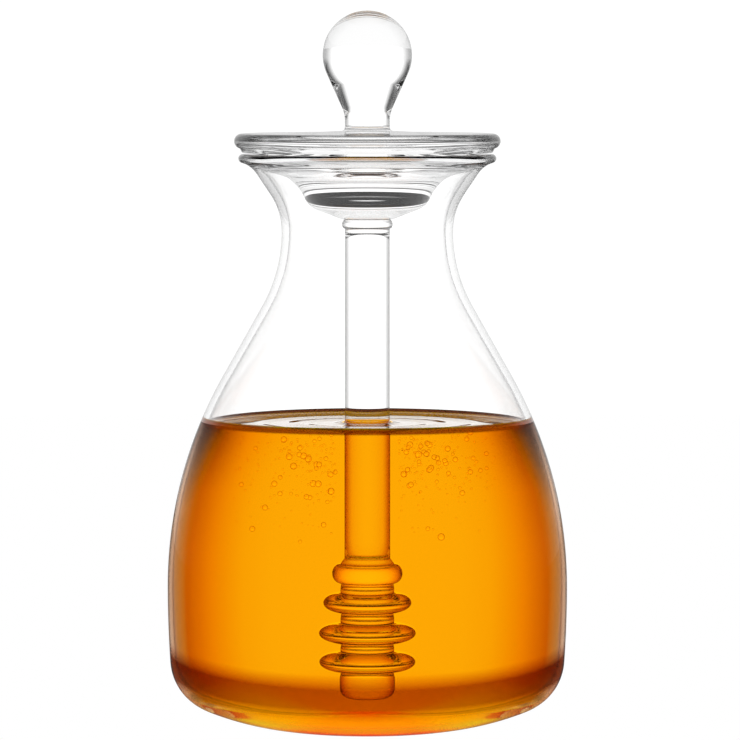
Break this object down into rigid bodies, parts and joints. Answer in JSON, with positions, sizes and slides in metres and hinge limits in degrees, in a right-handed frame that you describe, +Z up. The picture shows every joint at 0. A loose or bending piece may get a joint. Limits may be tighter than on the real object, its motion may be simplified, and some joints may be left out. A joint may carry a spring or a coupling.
{
  "type": "glass honey jar",
  "caption": "Bell-shaped clear glass jar part full of honey, with a ball-knob stopper lid whose glass rod ends in a ringed dipper standing in the honey.",
  "frame": {"origin": "centre of the jar's base, on the surface that it stands on", "axes": "+Z up along the axis of the jar, lid and dipper; X and Y are alike, because every piece is turned about Z"},
  "size_m": [0.0902, 0.0902, 0.162],
  "materials": {
    "jar_glass": "clear blown borosilicate glass, fire polished",
    "honey": "clear amber honey with small air bubbles, wet gloss",
    "lid_glass": "clear worked borosilicate glass, fire polished"
  },
  "bodies": {
    "root": {"jar": "jar_glass", "honey": "honey", "lid": "lid_glass"}
  },
  "joints": []
}
